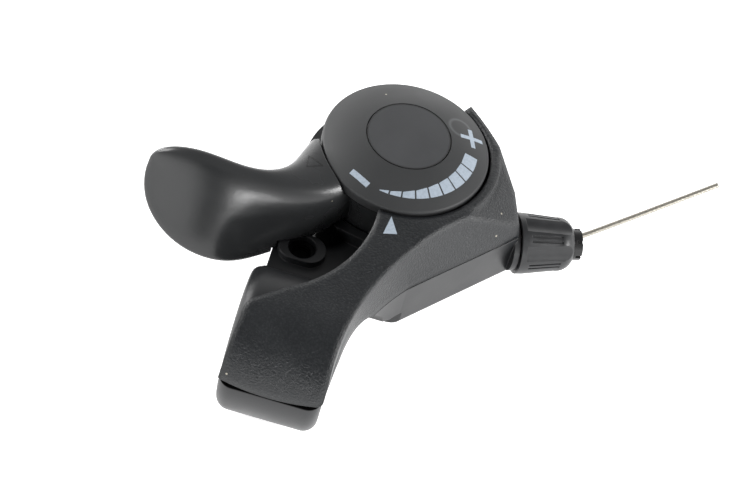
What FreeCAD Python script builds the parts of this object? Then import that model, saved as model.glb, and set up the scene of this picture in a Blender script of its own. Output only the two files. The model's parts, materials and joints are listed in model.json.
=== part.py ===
"""Thumb-lever gear shifter that clamps on a 22.2 mm handlebar.

The origin lies on the handlebar's axis at the middle of the clamp.  X runs along the bar towards the
cable, Y from the bar to the pod, and Z up along the lever's pivot.  All sizes are in millimetres.
"""
import FreeCAD
import Part
import math
import os

V = FreeCAD.Vector
UP = V(0, 0, 1)

# Handlebar clamp
bar_d = 22.2
bar_gap = 0.05
bar_relief = 0.6
clamp_wall = 4.4
clamp_w = 21.4
clamp_edge_r = 3.0
slit = 2.4
clamp_step_y = 9.0
neck_step_y = 16.2
lip_w = 12.0

# Clamp bolt and its boss
bolt_in = 8.3
bolt_y = 20.0
bolt_d = 5.0
bolt_head_d = 8.5
bolt_head_h = 4.0
bolt_key = 4.0
bolt_reach = 4.4
nut_d = 6.0
nut_h = 5.2
nut_sink = 1.6
boss_len = 10.2
boss_w = 7.2
boss_top = 8.2
lip_drop = 6.8
lip_round = 1.0
recess_floor = 6.4

# Pivot and the levels above the bar's axis
pivot_x = 12.5
pivot_y = 45.0
pod_bottom = -3.5
floor_t = 2.2
seam_z = 9.5
cover_end_angle = 13.0
cover_end_low = 4.7
cover_end_side = 5.75
cover_end_corner = 1.6
cover_t = 1.7
cover_top = 19.0
cover_slope_end = 26.0
seam_gap = 0.05

# Pod outline
pod_wall = 2.6
well_gap = 0.6
pod_edge_r = 2.2
rim_wall = 1.9
rim_end = 57.0
dial_gap = 0.6
flank_start = (11.0, -12.0)
flank_mid = (13.5, 0.8)
flank_end = (21.0, 15.8)
flank_foot = (13.35, 0.0)
flank_foot_mid = (15.9, 7.6)
foot_run = 15.4
ridge_start = (10.55, -8.0)
ridge_mid = (12.9, 4.8)
ridge_bend = (19.2, 18.8)
ridge_far = (26.0, 28.4)
ridge_nose = 1.4
nose_front = 3.6
nose_back = 4.4
shoulder = 1.5
roof_azimuth = -8.0
roof_start = 18.0
roof_angle = 30.0
recess_start = -96.0
recess_mid = (6.4, 10.4)
recess_end = (-3.0, 1.5)
recess_corner = (-7.5, -2.3)

# Dial and its cap
dial_d = 36.0
dial_under = 17.3
dial_edge = 19.5
dial_top = 23.0
dial_edge_r = 0.7
dial_bore_d = 11.0
cap_d = 17.9
cap_groove = 0.22
cap_t = 1.5
cap_crown = 0.25

# Cable, drum and index plate
cable_d = 1.2
cable_z = 3.2
cable_straight = 36.0
drum_r = 12.4
flange_in = 0.1
flange_slope = 0.6
drum_bottom = -0.7
drum_top = 7.6
groove_gap = 0.12
wrap_angle = 105.0
nipple_d = 4.0
nipple_len = 4.2
plate_t = 1.0
clicks = 6
click_angle = 12.3
notch_d = 2.0
notch_out = 0.2
drive_pin_d = 2.4
drive_pin_r = 8.6
drive_pin_len = 8.0
pin_gap = 0.02

# Pivot hardware
run_gap = 0.05
post_d = 8.0
post_top = 12.4
insert_d = 5.6
insert_len = 9.0
bush_wall = 1.0
pivot_bolt_d = 4.0
pivot_head_d = 8.0
pivot_head_h = 2.6
pivot_key = 3.0
washer_d = 15.0
washer_t = 1.0
spring_washer_d = 14.4
spring_washer_t = 0.5
spring_washer_gap = 0.1

# Click spring
leaf_t = 0.5
leaf_h = 2.6
leaf_gap = 1.05
leaf_under = 0.25
leaf_span = 62.0
leaf_azimuth = 92.0
leaf_pin_d = 1.2
leaf_eye_wall = 0.4
leaf_pin_in = 1.0
nose_gap = 0.25
nose_play = 0.1
nose_link_w = 1.0

# Thumb lever
hub_inset = 0.8
hub_web = 2.6
hub_wall = 2.4
hub_bottom = drum_top + plate_t
lever_root = 208.0
lever_in = 3.0
lever_root_w = 16.4
lever_root_z = 6.9
lever_top = 20.2
lever_rise = 4.7
lever_elbow = (-9.2, 17.8)
lever_tip = (-36.6, 25.6)
lever_t = 6.4
paddle_h = 21.2
paddle_lean = 27.0
paddle_dish = 1.1
lever_round = 0.72
tip_lift = 0.35
lever_square = 0.75
lever_points = 14
swing_gap = 0.4

# Barrel adjuster
barrel_angle = 18.9
wall_out = 4.2
neck_d = 12.0
neck_len = 0.9
thread_d = 5.0
thread_in = 9.5
knob_gap = 0.3
knob_len = 12.3
knob_d = 13.4
knob_nose_d = 8.6
knob_skirt = 1.5
knob_bore_d = 7.0
knob_cup_d = 10.4
knob_cup = 3.6
flutes = 6
flute_r = 3.4
flute_depth = 0.7
land_groove = 0.4
land_groove_in = 0.45
land_groove_at = 0.8
knob_taper = 0.8
knob_shoulder = 3.4
knob_crown = 0.5
collar_out = 2.2
press_gap = 0.02
socket_d = 5.3
socket_depth = 9.0
collar_notch = 0.7
collar_lip = 0.35
click_ring_t = 1.4
ring_in = 0.6
ring_gap = 0.3
key_w = 2.0
key_h = 1.2
key_out = 1.0
key_in = 5.5
key_room = 0.5

# Cover screws
screw_d = 2.6
screw_core_d = 2.0
screw_head_d = 4.6
screw_head_h = 1.6
screw_len = 18.0
screw_post_d = 5.0
screw_tip_room = 0.5
screw_places = [(21.5, 26.5), (13.2, 20.6)]

# Worked-out sizes
bar_r = bar_d / 2 + bar_gap
ring_r = bar_r + clamp_wall
cover_r = ring_r + cover_t
leg_x = clamp_w / 2
dial_r = dial_d / 2
hole_r = dial_r + dial_gap
rim_r = hole_r + rim_wall
pod_r = rim_r
well_r = pod_r - pod_wall
leaf_r = well_r - well_gap - leaf_eye_wall - leaf_pin_d / 2
plate_r = leaf_r - leaf_t / 2 - leaf_gap
flange_r = plate_r - flange_in
hub_r = dial_r - hub_inset
bolt_x = bolt_in - leg_x
lip_len = boss_w + 2 * lip_round
floor_top = pod_bottom + floor_t
bush_r = post_d / 2 + run_gap + bush_wall
barrel_turn = math.radians(barrel_angle)
barrel_dir = V(math.cos(barrel_turn), math.sin(barrel_turn), 0)
barrel_side = V(math.sin(barrel_turn), -math.cos(barrel_turn), 0)
pivot = V(pivot_x, pivot_y, 0)
tangent = pivot + barrel_side * drum_r + UP * cable_z
wall_at = pod_r + wall_out
knob_at = wall_at + neck_len + knob_gap
collar_at = knob_at + knob_len + collar_out
ring_at = knob_at + ring_in


def polar(radius, degrees, z=0.0):
    """Point at a radius and azimuth about the pivot."""
    turn = math.radians(degrees)
    return pivot + V(radius * math.cos(turn), radius * math.sin(turn), z)


def flat(x, y, z=0.0):
    return V(x, y, z)


def closed_wire(start, steps):
    """Closed wire: a step of one point is a line to it, a step of two an arc through the first."""
    edges = []
    here = start
    for step in steps:
        if len(step) == 2:
            edges.append(Part.Arc(here, step[0], step[1]).toShape())
        elif here.distanceToPoint(step[0]) > 1e-6:
            edges.append(Part.makeLine(here, step[0]))
        here = step[-1]
    if here.distanceToPoint(start) > 1e-6:
        edges.append(Part.makeLine(here, start))
    return Part.Wire(edges)


def prism(wire, z0, z1):
    """Upright prism on a level wire."""
    level = wire.copy()
    level.translate(UP * (z0 - wire.BoundBox.ZMin))
    return Part.Face(level).extrude(UP * (z1 - z0))


def turned(profile):
    """Solid of revolution about the pivot from (radius, height) points."""
    points = [pivot + V(r, 0, z) for r, z in profile]
    return Part.Face(Part.makePolygon(points + points[:1])).revolve(pivot, UP, 360)


def disc(radius, z0, z1, x=pivot_x, y=pivot_y):
    return Part.makeCylinder(radius, z1 - z0, V(x, y, z0))


def ring(outer, inner, z0, z1):
    return disc(outer, z0, z1).cut(disc(inner, z0, z1))


def on_barrel(shape):
    """Moves a shape made along local X from the tangent point onto the barrel's axis."""
    turn = FreeCAD.Rotation(UP, barrel_angle)
    shape.Placement = FreeCAD.Placement(tangent, turn).multiply(shape.Placement)
    return shape


def barrel_rod(radius, s0, s1):
    return on_barrel(Part.makeCylinder(radius, s1 - s0, V(s0, 0, 0), V(1, 0, 0)))


def barrel_turned(profile):
    """Solid of revolution about the barrel's axis from (distance, radius) points."""
    points = [V(s, r, 0) for s, r in profile]
    face = Part.Face(Part.makePolygon(points + points[:1]))
    return on_barrel(face.revolve(V(), V(1, 0, 0), 360))


def hex_socket(across_flats, x, y, z0, z1):
    corner = across_flats / math.sqrt(3)
    points = []
    for i in range(6):
        turn = math.radians(60 * i)
        points.append(V(x + corner * math.cos(turn), y + corner * math.sin(turn), z0))
    return Part.Face(Part.makePolygon(points + points[:1])).extrude(UP * (z1 - z0))


def plan_at(distance, side):
    """Plan point at a distance along the barrel and to its front side."""
    point = pivot + barrel_side * (drum_r + side) + barrel_dir * distance
    return V(point.x, point.y, 0)


def recess_steps():
    """Cover's left edge: from the dial round the bolt recess to the end of the leg."""
    side_x = -leg_x - seam_gap
    corner_out = V(side_x + 1.2, recess_corner[1] - 4.6, 0)
    bow = V(-0.6, 0.6, 0)
    corner_mid = (flat(*recess_corner) + corner_out) * 0.5 + bow
    return [
        (flat(*recess_mid), flat(*recess_end)),
        (flat(*recess_corner),),
        (corner_mid, corner_out),
        (V(side_x, -cover_r - 1, 0),),
    ]


def seam_outline():
    """Cover's outer edge at the seam, from the leg's right end round to its left end."""
    return closed_wire(V(flank_start[0], -cover_r - 1, 0), [
        (flat(*flank_start),),
        (flat(*flank_mid), flat(*flank_end)),
        (plan_at(wall_at, nose_front),),
        (plan_at(wall_at, -nose_back),),
        (polar(rim_r + 0.5, rim_end),),
        (pivot,),
        (polar(hole_r - 0.5, recess_start),),
    ] + recess_steps())


def top_outline():
    """The same edge at the top of the cover, with the front and end faces leaning in."""
    return closed_wire(V(ridge_start[0], -cover_r - 1, 0), [
        (flat(*ridge_start),),
        (flat(*ridge_mid), flat(*ridge_bend)),
        (flat(*ridge_far), plan_at(wall_at - shoulder, ridge_nose)),
        (plan_at(wall_at - shoulder, -nose_back),),
        (polar(rim_r, rim_end / 2), polar(rim_r, rim_end)),
        (pivot,),
        (polar(hole_r - 0.5, recess_start),),
    ] + recess_steps())


def cover_profile(inset):
    """Side view of the cover: over the ring, up to the dial and level behind it."""
    outer = cover_r - inset
    end = math.radians(180 - cover_end_angle)
    top = cover_top - inset
    crest = math.atan2(top, cover_slope_end) + math.acos(outer / math.hypot(top, cover_slope_end))
    middle = (end + crest) / 2
    far_y = pivot_y + rim_r + 5
    return closed_wire(V(0, outer * math.cos(end), outer * math.sin(end)), [
        (V(0, outer * math.cos(middle), outer * math.sin(middle)),
         V(0, outer * math.cos(crest), outer * math.sin(crest))),
        (V(0, cover_slope_end, top),),
        (V(0, far_y, top),),
        (V(0, far_y, seam_z + seam_gap),),
        (V(0, 0, seam_z + seam_gap),),
    ])


def nose_roof():
    """Everything above the roof that falls from the dial's rim to the cable end."""
    reach = 3 * dial_r
    drop = reach * math.tan(math.radians(roof_angle))
    side = Part.makePolygon([
        V(roof_start, -reach, cover_top), V(roof_start + reach, -reach, cover_top - drop),
        V(roof_start + reach, -reach, cover_top + 1), V(roof_start, -reach, cover_top + 1),
        V(roof_start, -reach, cover_top)])
    block = Part.Face(side).extrude(V(0, 2 * reach, 0))
    block.Placement = FreeCAD.Placement(pivot, FreeCAD.Rotation(UP, roof_azimuth))
    return block.cut(disc(rim_r, 0, 2 * cover_top))


def side_prism(wire):
    """Side profile drawn out across the whole width."""
    width = 4 * clamp_w
    section = wire.copy()
    section.translate(V(-width / 2, 0, 0))
    return Part.Face(section).extrude(V(width * 1.2, 0, 0))


def cover_end():
    """What the bowed end of the leg with its rounded corners leaves away, seen from the front."""
    side = leg_x + 0.3
    r = cover_end_corner
    knee = r * (1 - math.sqrt(0.5))
    low = cover_end_side
    keep = closed_wire(V(-side, -cover_r - 2, 2 * cover_r), [
        (V(-side, -cover_r - 2, low + r),),
        (V(-side + knee, -cover_r - 2, low + knee), V(-side + r, -cover_r - 2, low)),
        (V(0, -cover_r - 2, cover_end_low), V(side - r, -cover_r - 2, low)),
        (V(side - knee, -cover_r - 2, low + knee), V(side, -cover_r - 2, low + r)),
        (V(side, -cover_r - 2, 2 * cover_r),),
    ])
    depth = V(0, cover_r / 3, 0)
    block = Part.makeBox(4 * side, depth.y, cover_r, V(-2 * side, -cover_r - 2, -cover_r / 3))
    return block.cut(Part.Face(keep).extrude(depth))


def top_cover():
    seam = seam_outline()
    top = top_outline()
    low = prism(seam, 0, seam_z)
    seam.translate(UP * seam_z)
    top.translate(UP * cover_top)
    form = low.fuse(Part.makeLoft([seam, top], True, True))
    form = form.common(side_prism(cover_profile(0))).cut(nose_roof())
    hollow = prism(top.makeOffset2D(-cover_t), seam_z, cover_top)
    hollow = hollow.common(side_prism(cover_profile(cover_t)))
    hollow = hollow.cut(Part.makeBox(4 * clamp_w, 3 * ring_r, 3 * ring_r, V(-2 * clamp_w, -2 * ring_r, 0)))
    lowered = nose_roof()
    lowered.translate(UP * -cover_t)
    shell = form.cut(hollow.cut(lowered))
    tip = pod_bottom + screw_len + screw_tip_room
    for x, y in screw_places:
        shell = shell.fuse(disc(screw_post_d / 2, seam_z + seam_gap, cover_top, x, y).common(form))
        shell = shell.cut(disc(screw_core_d / 2 + run_gap, 0, tip, x, y))
    shell = shell.cut(disc(hole_r, 0, 2 * cover_top))
    seat_end = leg_x + seam_gap
    shell = shell.cut(Part.makeCylinder(ring_r + seam_gap, 3 * clamp_w, V(seat_end, 0, 0), V(-1, 0, 0)))
    shell = shell.cut(Part.makeCylinder(bar_r + bar_relief, 3 * clamp_w, V(leg_x, 0, 0), V(1, 0, 0)))
    shell = shell.cut(barrel_rod(neck_d / 2 + 0.1, wall_at - 0.5, wall_at + 10))
    return shell.cut(cover_end())


def base_outline():
    """Plan of the pod and neck below the seam."""
    inner_x = bolt_x + lip_w / 2 - 2
    return closed_wire(flat(*flank_foot), [
        (flat(*flank_foot_mid), flat(*flank_end)),
        (plan_at(wall_at, nose_front),),
        (plan_at(wall_at, -nose_back),),
        (polar(pod_r, rim_end - 8),),
        (polar(pod_r, 150), polar(pod_r, 244)),
        (V(inner_x, bolt_y, 0),),
        (V(inner_x, 2, 0),),
        (V(-leg_x, 2, 0),),
        (V(-leg_x, 0, 0),),
    ])


def stadium(length, width, x, y, z0, z1):
    """Slot-shaped prism along X."""
    half = length / 2 - width / 2
    r = width / 2
    wire = closed_wire(V(x - half, y - r, 0), [
        (V(x + half, y - r, 0),),
        (V(x + half + r, y, 0), V(x + half, y + r, 0)),
        (V(x - half, y + r, 0),),
        (V(x - half - r, y, 0), V(x - half, y - r, 0)),
    ])
    return prism(wire, z0, z1)


def clamp_ring():
    """Handlebar ring with rounded edges, stepped down beside the bolt recess."""
    barrel = Part.makeCylinder(ring_r, clamp_w, V(-leg_x, 0, 0), V(1, 0, 0))
    rims = [e for e in barrel.Edges if abs(e.Length - 2 * math.pi * ring_r) < 0.01]
    barrel = barrel.makeFillet(clamp_edge_r, rims)
    step = Part.makeBox(clamp_w, ring_r, ring_r, V(-leg_x, clamp_step_y, recess_floor))
    return barrel.cut(step)


def rounded_prism(z0):
    """Pod and neck down to a level, rounded underneath from the neck round to the pod's back."""
    body = prism(base_outline(), z0, seam_z)
    low = []
    for edge in body.Edges:
        middle = edge.valueAt((edge.FirstParameter + edge.LastParameter) / 2)
        right = middle.x > flank_foot[0]
        if abs(edge.BoundBox.ZMax - z0) < 0.01 and (right or middle.y > pivot_y - pod_r / 2):
            low.append(edge)
    return body.makeFillet(pod_edge_r, low)


def foot_slope():
    """Everything below the neck's sloping underside, which rises from the pod to the clamp ring."""
    low = -2 * ring_r
    return side_prism(closed_wire(V(0, -1, seam_z), [
        (V(0, 0, seam_z),),
        (V(0, foot_run, 0),),
        (V(0, foot_run, low),),
        (V(0, -1, low),),
    ]))


def bolt_lip(z0, z1):
    """Lip of the clamp that the bolt goes through."""
    lip = stadium(lip_w, lip_len, bolt_x, bolt_y, z0, z1)
    return lip.fuse(Part.makeBox(lip_w, bolt_y - bar_r, z1 - z0, V(bolt_x - lip_w / 2, bar_r, z0)))


def base_bracket():
    """Pod, neck and the open clamp ring with its two bolt lips, moulded in one."""
    neck_bottom = slit / 2
    body = rounded_prism(pod_bottom)
    lip_side = bolt_x + lip_w / 2 + 2
    for x, y in ((lip_side - 2 * clamp_w, pivot_y - pod_r - 1), (lip_side, neck_step_y)):
        body = body.cut(Part.makeBox(2 * clamp_w, y, 20, V(x, 0, neck_bottom - 20)))
    body = body.fuse(rounded_prism(neck_bottom)).cut(foot_slope())
    recess = prism(closed_wire(polar(pod_r, 244), [
        (polar(hole_r + cover_t, recess_start + 4),),
        (flat(*recess_mid) + V(-0.6, 0.6, 0), flat(*recess_end)),
        (V(-2 * leg_x, 0, 0),),
        (V(-2 * leg_x, bolt_y + boss_w, 0),),
    ]), recess_floor, seam_z + 1)
    body = body.cut(recess).fuse(clamp_ring())
    body = body.fuse(stadium(boss_len, boss_w, bolt_x, bolt_y, neck_bottom, boss_top))
    body = body.fuse(bolt_lip(neck_bottom, recess_floor)).fuse(bolt_lip(-slit / 2 - lip_drop, -slit / 2))
    body = body.cut(Part.makeCylinder(bar_r, 2 * clamp_w, V(-clamp_w, 0, 0), V(1, 0, 0)))
    body = body.cut(Part.makeCylinder(bar_r + bar_relief, 2 * clamp_w, V(leg_x, 0, 0), V(1, 0, 0)))
    body = body.cut(Part.makeBox(3 * clamp_w, ring_r + 0.5, slit, V(-1.5 * clamp_w, 0, -slit / 2)))
    body = body.cut(disc(well_r, floor_top, seam_z + 20))
    body = body.fuse(disc(post_d / 2, pod_bottom, post_top))
    body = body.cut(disc(insert_d / 2, post_top - insert_len, post_top + 1))
    body = body.fuse(barrel_rod(neck_d / 2, wall_at - 0.4, wall_at + neck_len))
    body = body.cut(barrel_rod(thread_d / 2 + run_gap, 0, wall_at + neck_len))
    for side in (-1, 1):
        body = body.cut(ring_key(side, run_gap))
    body = body.cut(disc(nut_d / 2, boss_top - nut_sink - nut_h, boss_top + 1, bolt_x, bolt_y))
    body = body.cut(disc(bolt_d / 2 + 0.25, -20, boss_top, bolt_x, bolt_y))
    for x, y in screw_places:
        body = body.cut(disc(screw_d / 2 + 0.2, pod_bottom - 1, seam_z, x, y))
        body = body.cut(disc(screw_head_d / 2 + 0.2, pod_bottom - 1, pod_bottom + screw_head_h, x, y))
    body = body.cut(disc(leaf_pin_d / 2, floor_top - leaf_pin_in, floor_top + leaf_h, *leaf_pin_place()))
    return body.removeSplitter()


def clamp_bolt():
    under = -slit / 2 - lip_drop
    head = disc(bolt_head_d / 2, under - bolt_head_h, under, bolt_x, bolt_y)
    head = head.cut(hex_socket(bolt_key, bolt_x, bolt_y, under - bolt_head_h, under - bolt_head_h / 3))
    shank = disc(bolt_d / 2, under, slit / 2, bolt_x, bolt_y)
    thread = disc(bolt_d / 2 - 0.45, slit / 2, bolt_reach, bolt_x, bolt_y)
    return head.fuse(shank).fuse(thread).removeSplitter()


def clamp_nut():
    top = boss_top - nut_sink
    nut = disc(nut_d / 2, top - nut_h, top, bolt_x, bolt_y)
    return nut.cut(disc(bolt_d / 2 - 0.4, top - nut_h, top, bolt_x, bolt_y))


def pivot_insert():
    nut = disc(insert_d / 2, post_top - insert_len, post_top)
    return nut.cut(disc(pivot_bolt_d / 2 - 0.3, post_top - insert_len, post_top))


def pivot_bush():
    return ring(bush_r, post_d / 2 + run_gap / 2, floor_top, post_top)


def flat_washer():
    z = post_top
    return ring(washer_d / 2, pivot_bolt_d / 2 + 0.2, z, z + washer_t)


def spring_washer():
    """Conical washer between the flat washer and the lever's web."""
    top = post_top
    inner = bush_r + 0.4
    outer = spring_washer_d / 2
    low = hub_bottom + hub_web + spring_washer_t + spring_washer_gap
    return turned([(inner, top - spring_washer_t), (inner, top), (outer, low), (outer, low - spring_washer_t)])


def pivot_bolt():
    under = post_top + washer_t
    head = disc(pivot_head_d / 2, under, under + pivot_head_h)
    rims = [e for e in head.Edges if e.BoundBox.ZMin > under + pivot_head_h / 2 and e.Closed]
    head = head.makeFillet(pivot_head_h / 3, rims)
    head = head.cut(hex_socket(pivot_key, pivot_x, pivot_y, under + pivot_head_h / 2, under + pivot_head_h))
    shank = disc(pivot_bolt_d / 2, post_top, under)
    thread = disc(pivot_bolt_d / 2 - 0.35, post_top - insert_len * 0.8, post_top)
    return head.fuse(shank).fuse(thread).removeSplitter()


def leaf_pin_place():
    place = polar(leaf_r, leaf_azimuth + leaf_span / 2)
    return place.x, place.y


def leaf_pin():
    x, y = leaf_pin_place()
    return disc(leaf_pin_d / 2, floor_top - leaf_pin_in, hub_bottom - leaf_under, x, y)


def notch_azimuth(step):
    """Azimuth of a notch in the index plate; step 0 is under the spring's nose at rest."""
    return leaf_azimuth + step * click_angle


def click_spring():
    """Leaf bent round the plate, with a nose that drops into a notch and an eye on its pin."""
    z1 = hub_bottom - leaf_under
    z0 = z1 - leaf_h
    half = leaf_span / 2
    band = ring(leaf_r + leaf_t / 2, leaf_r - leaf_t / 2, z0, z1)
    first = polar(2 * leaf_r, leaf_azimuth - half)
    last = polar(2 * leaf_r, leaf_azimuth + half)
    middle = polar(3 * leaf_r, leaf_azimuth)
    wedge = prism(closed_wire(pivot, [(first,), (middle,), (last,)]), z0, z1)
    leaf = band.common(wedge)
    nose_z = drum_top + nose_play
    nose_h = plate_t - 2 * nose_play
    spot = polar(plate_r + notch_out, leaf_azimuth, nose_z)
    nose = disc(notch_d / 2 - nose_gap, nose_z, nose_z + nose_h, spot.x, spot.y)
    link_out = polar(leaf_r, leaf_azimuth, nose_z)
    link = Part.makeBox(nose_link_w, link_out.distanceToPoint(spot), nose_h)
    link.translate(V(-nose_link_w / 2, 0, 0))
    turn = FreeCAD.Rotation(UP, leaf_azimuth - 90)
    link.Placement = FreeCAD.Placement(spot, turn).multiply(link.Placement)
    eye_x, eye_y = leaf_pin_place()
    eye = disc(leaf_pin_d / 2 + leaf_eye_wall, z0, z1, eye_x, eye_y)
    leaf = leaf.fuse(nose).fuse(link).fuse(eye)
    return leaf.cut(disc(leaf_pin_d / 2 + run_gap, z0, z1, eye_x, eye_y)).removeSplitter()


def cover_screws():
    screws = []
    cross = screw_head_d * 0.6
    for x, y in screw_places:
        head = disc(screw_head_d / 2, pod_bottom, pod_bottom + screw_head_h, x, y)
        shank = disc(screw_core_d / 2, pod_bottom + screw_head_h, pod_bottom + screw_len, x, y)
        slot = Part.makeBox(cross, 0.6, 0.9, V(x - cross / 2, y - 0.3, pod_bottom))
        slot = slot.fuse(Part.makeBox(0.6, cross, 0.9, V(x - 0.3, y - cross / 2, pod_bottom)))
        screws.append(head.fuse(shank).cut(slot))
    return Part.makeCompound(screws)


def drive_holes(gap):
    """Two holes, or pins where the gap is nil, that tie hub, plate and drum together."""
    holes = []
    for side in (0, 180):
        place = polar(drive_pin_r, lever_root + 90 + side)
        z0 = hub_bottom + hub_web / 2 - drive_pin_len
        holes.append(disc(drive_pin_d / 2 + gap, z0, z0 + drive_pin_len, place.x, place.y))
    return Part.makeCompound(holes)


def cable_drum():
    r = flange_r
    groove = cable_d / 2 + groove_gap
    base = drum_r - cable_d / 2 - groove_gap
    drum = turned([
        (bush_r + run_gap, drum_bottom),
        (r, drum_bottom),
        (r, cable_z - groove - flange_slope),
        (base, cable_z - groove),
        (base, cable_z + groove),
        (r, cable_z + groove + flange_slope),
        (r, drum_top),
        (bush_r + run_gap, drum_top),
    ])
    spot = polar(drum_r, nipple_azimuth())
    seat = cable_z - nipple_len / 2 - groove_gap
    drum = drum.cut(disc(nipple_d / 2 + groove_gap, seat, drum_top, spot.x, spot.y))
    return drum.cut(drive_holes(pin_gap))


def nipple_azimuth():
    return barrel_angle - 90 - wrap_angle


def cable_nipple():
    spot = polar(drum_r, nipple_azimuth())
    slug = disc(nipple_d / 2, cable_z - nipple_len / 2, cable_z + nipple_len / 2, spot.x, spot.y)
    return slug.makeFillet(0.3, [e for e in slug.Edges if e.Closed])


def cable_wrap():
    """Stretch of cable that lies in the drum's groove, from the tangent point to the nipple."""
    room = math.degrees((nipple_d / 2 + run_gap) / drum_r)
    start = polar(drum_r, barrel_angle - 90, cable_z)
    circle = Part.Wire(Part.makeCircle(cable_d / 2, start, barrel_dir))
    return Part.Face(circle).revolve(pivot, V(0, 0, -1), wrap_angle - room)


def index_plate():
    z = drum_top
    plate = ring(plate_r, bush_r + run_gap, z, z + plate_t)
    for step in range(clicks + 1):
        spot = polar(plate_r + notch_out, notch_azimuth(step))
        plate = plate.cut(disc(notch_d / 2, z, z + plate_t, spot.x, spot.y))
    return plate.cut(drive_holes(pin_gap))


def drive_pins():
    return drive_holes(0)


def lever_section(t, tip):
    """Closed row of points round the lever at t along its path, drawn in by tip at the rounded end."""
    root = polar(hub_r - lever_in, lever_root)
    elbow = flat(*lever_elbow)
    end = flat(*lever_tip)
    place = root * (1 - t) ** 2 + elbow * (2 * t * (1 - t)) + end * t ** 2
    along = (elbow - root) * (1 - t) + (end - elbow) * t
    along.normalize()
    front = V(-along.y, along.x, 0)
    grow = t * t * (3 - 2 * t)
    lean = math.radians(paddle_lean) * min(1.0, 1.5 * t)
    rise = UP * math.cos(lean) - front * math.sin(lean)
    root_h = lever_top - lever_root_z
    half_h = (root_h + (paddle_h - root_h) * min(1.0, 1.45 * grow)) / 2
    thin = min(1.0, 1.7 * t)
    half_t = (lever_root_w + (lever_t - lever_root_w) * thin * thin * (3 - 2 * thin)) / 2
    crest = place + UP * (lever_top + lever_rise * grow ** 1.5)
    centre = crest - rise * half_h * (1 - (1 - tip) * tip_lift)
    points = []
    for i in range(lever_points):
        turn = 2 * math.pi * (0.6 - i / lever_points)
        c = math.cos(turn)
        s = math.sin(turn)
        x = half_t * math.copysign(abs(c) ** lever_square, c)
        y = half_h * math.copysign(abs(s) ** lever_square, s)
        if c > 0:
            x -= paddle_dish * grow * c * c
        points.append(centre + (front * x + rise * y) * tip)
    return points + points[:1]


def skinned(rows):
    """Solid with one smooth skin through closed rows of points and a flat cap at each end."""
    surface = Part.BSplineSurface()
    surface.interpolate(rows)
    first, last = surface.bounds()[:2]
    faces = [surface.toShape()]
    for end in (first, last):
        faces.append(Part.Face(Part.Wire(surface.uIso(end).toShape())))
    shell = Part.makeShell(faces)
    shell.sewShape()
    solid = Part.makeSolid(shell)
    if solid.Volume < 0:
        solid.reverse()
    return solid


def thumb_lever():
    """Hub ring under the dial and the sculpted arm, moulded in one."""
    r = hub_r
    web_top = hub_bottom + hub_web
    hub = turned([
        (bush_r + run_gap, hub_bottom),
        (r, hub_bottom),
        (r, dial_under),
        (r - hub_wall, dial_under),
        (r - hub_wall, web_top),
        (bush_r + run_gap, web_top),
    ])
    sections = [lever_section(lever_round * i / 6, 1.0) for i in range(7)]
    for angle in (22, 42, 60, 74, 84):
        turn = math.radians(angle)
        t = lever_round + (1 - lever_round) * math.sin(turn)
        sections.append(lever_section(t, math.cos(turn) ** 0.9))
    arm = skinned(sections)
    swing_r = pod_r + swing_gap
    swing_z = seam_z + swing_gap
    core = r - hub_wall / 2
    arm = arm.cut(turned([
        (0, pod_bottom),
        (swing_r, pod_bottom),
        (swing_r, swing_z),
        (core, swing_z),
        (core, dial_under),
        (0, dial_under),
    ]))
    room = 2 * swing_gap
    arm = arm.cut(stadium(boss_len + room, boss_w + room, bolt_x, bolt_y, 0, boss_top + swing_gap))
    arm = arm.cut(stadium(lip_w + room, lip_len + room, bolt_x, bolt_y, 0, recess_floor + swing_gap))
    arm = arm.cut(disc(dial_r + dial_gap * 0.7, dial_under - 0.05, dial_top + 10))
    return hub.fuse(arm).cut(drive_holes(pin_gap))


def dial():
    """Graduated disc: domed top, plain skirt and a pocket for the cap."""
    cap_r = cap_d / 2 + cap_groove
    pocket = dial_top - cap_t
    dome_z = (dial_r ** 2 - cap_r ** 2 + dial_edge ** 2 - dial_top ** 2) / (2 * (dial_edge - dial_top))
    dome_r = math.hypot(dial_r, dial_edge - dome_z)
    knee = (dial_r + cap_r) / 2
    knee_z = dome_z + math.sqrt(dome_r ** 2 - knee ** 2)
    bore = dial_bore_d / 2

    def at(radius, z):
        return pivot + V(radius, 0, z)

    profile = closed_wire(at(bore, dial_under), [
        (at(dial_r, dial_under),),
        (at(dial_r, dial_edge),),
        (at(knee, knee_z), at(cap_r, dial_top)),
        (at(cap_r, pocket),),
        (at(bore, pocket),),
    ])
    body = Part.Face(profile).revolve(pivot, UP, 360)
    rims = []
    for edge in body.Edges:
        box = edge.BoundBox
        if abs(box.ZMin - dial_edge) < 0.01 and box.XLength > dial_d - 0.1:
            rims.append(edge)
    return body.makeFillet(dial_edge_r, rims)


def dial_cap():
    r = cap_d / 2
    z = dial_top - cap_t
    dome_r = (r ** 2 + cap_crown ** 2) / (2 * cap_crown)
    half_z = dial_top + cap_crown - dome_r + math.sqrt(dome_r ** 2 - r ** 2 / 4)

    def at(radius, height):
        return pivot + V(radius, 0, height)

    profile = closed_wire(at(0, z), [
        (at(r, z),),
        (at(r, dial_top),),
        (at(r / 2, half_z), at(0, dial_top + cap_crown)),
    ])
    return Part.Face(profile).revolve(pivot, UP, 360)


def ring_key(side, gap):
    """Tongue of the click ring that slides in a slot of the neck."""
    z = side * (thread_d / 2 + key_out)
    w = key_w / 2 + gap
    h = key_h / 2 + gap
    s1 = ring_at + click_ring_t / 2
    s0 = wall_at - key_in
    key = Part.makeBox(s1 - s0, 2 * w, 2 * h, V(s0, -w, z - h))
    if gap > 0:
        key.translate(V(-key_room, 0, 0))
    return on_barrel(key)


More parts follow.
